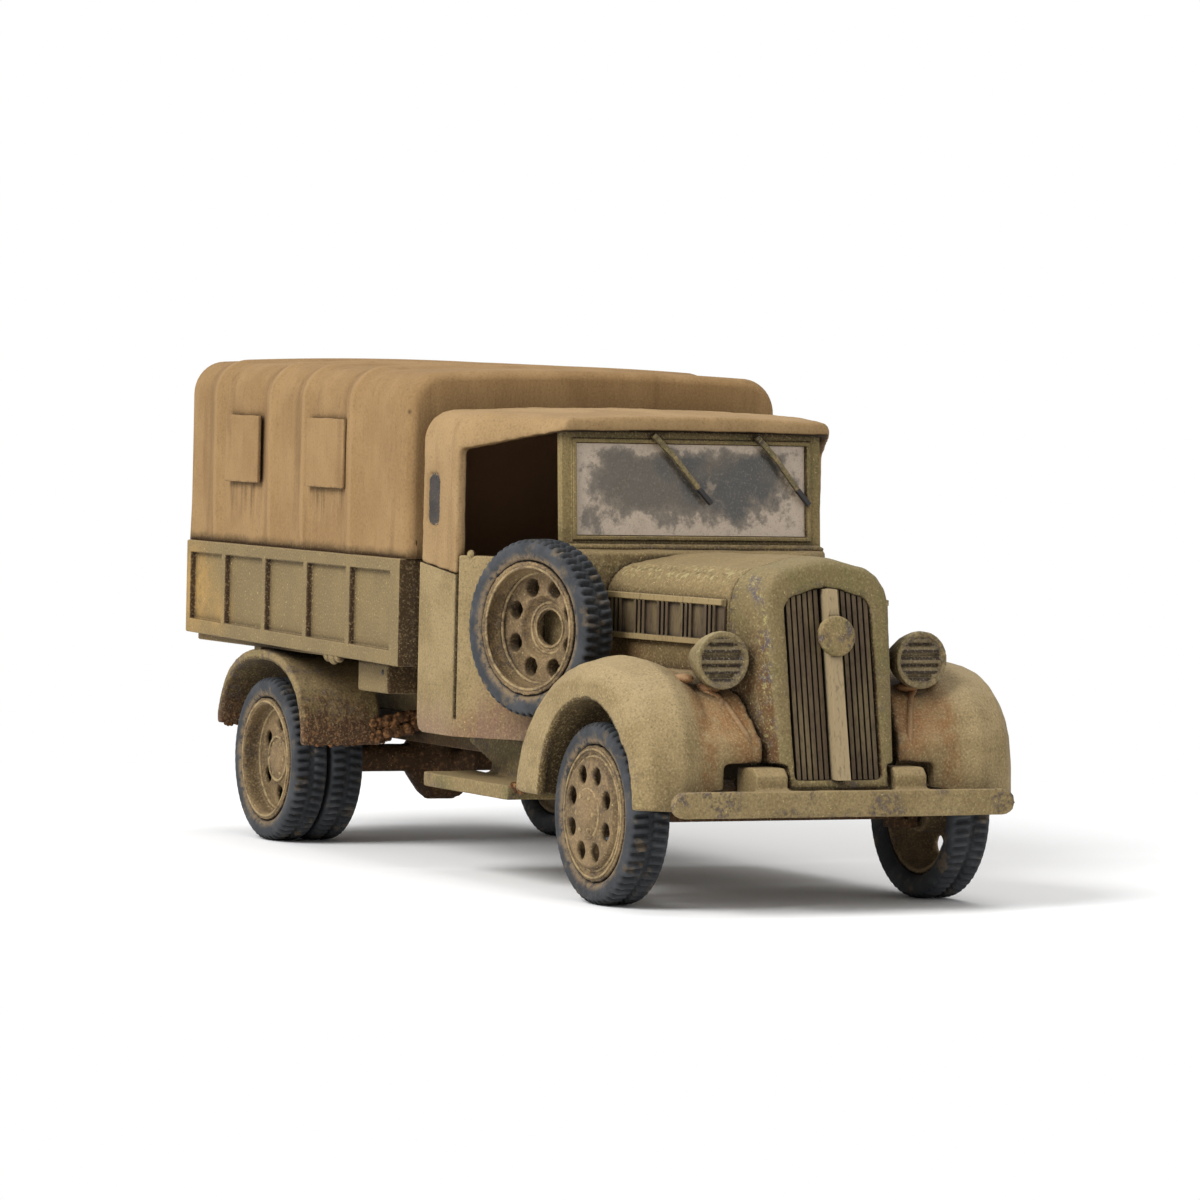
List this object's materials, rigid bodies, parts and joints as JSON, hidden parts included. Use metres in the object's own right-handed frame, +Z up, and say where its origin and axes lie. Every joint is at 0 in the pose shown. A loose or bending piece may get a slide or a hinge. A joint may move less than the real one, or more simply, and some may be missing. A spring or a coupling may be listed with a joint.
{
  "type": "scale model of a military cargo truck",
  "caption": "Painted tabletop model of a canvas-topped military cargo truck with a dropside bed, rounded fenders, twin rear tyres, spare wheel and rolling wheels.",
  "frame": {"origin": "bottom centre of the whole model, on the surface the tyres stand on", "axes": "+X forward to the bumper, +Y to the truck's left side, +Z up"},
  "size_m": [0.1046, 0.0396, 0.0475],
  "materials": {
    "body_paint": "brushed olive drab over resin, dry-brushed tan edges, chips and mud",
    "canvas_paint": "tan canvas paint with darker streaks",
    "tyre": "blue-grey rubber paint, dusty",
    "wheel_paint": "olive-tan paint with brown wash",
    "chassis_paint": "dark olive with brown mud",
    "grille_paint": "dark grey-brown wash over tan",
    "pane_paint": "opaque grey glass paint with pale dust at the edges",
    "inside_paint": "near-black brown inside paint"
  },
  "bodies": {
    "truck": {"bed_floor": "body_paint", "bed_side_left": "body_paint", "bed_side_right": "body_paint", "bench_seat": "inside_paint", "bonnet": "body_paint", "bonnet_louvres": "body_paint", "cab_canvas_top": "canvas_paint", "cab_floor": "inside_paint", "cab_rear_wall": "inside_paint", "cab_side_left": "body_paint", "cab_side_right": "body_paint", "canopy": "canvas_paint", "chassis_frame": "chassis_paint", "front_axle": "chassis_paint", "front_bumper": "body_paint", "front_fender_left": "body_paint", "front_fender_right": "body_paint", "front_springs": "chassis_paint", "grille": "grille_paint", "grille_shell": "body_paint", "headboard": "body_paint", "headlamp_left": "body_paint", "headlamp_right": "body_paint", "nose_boss": "body_paint", "rear_axle": "chassis_paint", "rear_fender_left": "body_paint", "rear_fender_right": "body_paint", "rear_springs": "chassis_paint", "running_board_left": "body_paint", "running_board_right": "body_paint", "scuttle": "body_paint", "spare_tyre": "tyre", "spare_wheel": "wheel_paint", "steering_knuckles": "chassis_paint", "steering_wheel": "inside_paint", "tailgate": "body_paint", "toolboxes": "body_paint", "window_flaps": "canvas_paint", "windscreen_frame": "body_paint", "windscreen_pane": "pane_paint", "wipers": "grille_paint"},
    "front_wheel_left_body": {"front_tyre_left": "tyre", "front_wheel_left": "wheel_paint"},
    "front_wheel_right_body": {"front_tyre_right": "tyre", "front_wheel_right": "wheel_paint"},
    "rear_wheels_left_body": {"rear_tyres_left": "tyre", "rear_wheel_left": "wheel_paint"},
    "rear_wheels_right_body": {"rear_tyres_right": "tyre", "rear_wheel_right": "wheel_paint"}
  },
  "joints": [
    {"name": "front_left_roll", "type": "hinge", "parent": "truck", "child": "front_wheel_left_body", "pos_m": [0.03852, 0.01595, 0.008], "axis": [0, 1, 0], "continuous": true},
    {"name": "front_right_roll", "type": "hinge", "parent": "truck", "child": "front_wheel_right_body", "pos_m": [0.03852, -0.01595, 0.008], "axis": [0, 1, 0], "continuous": true},
    {"name": "rear_left_roll", "type": "hinge", "parent": "truck", "child": "rear_wheels_left_body", "pos_m": [-0.03207, 0.01535, 0.008], "axis": [0, 1, 0], "continuous": true},
    {"name": "rear_right_roll", "type": "hinge", "parent": "truck", "child": "rear_wheels_right_body", "pos_m": [-0.03207, -0.01535, 0.008], "axis": [0, 1, 0], "continuous": true}
  ]
}
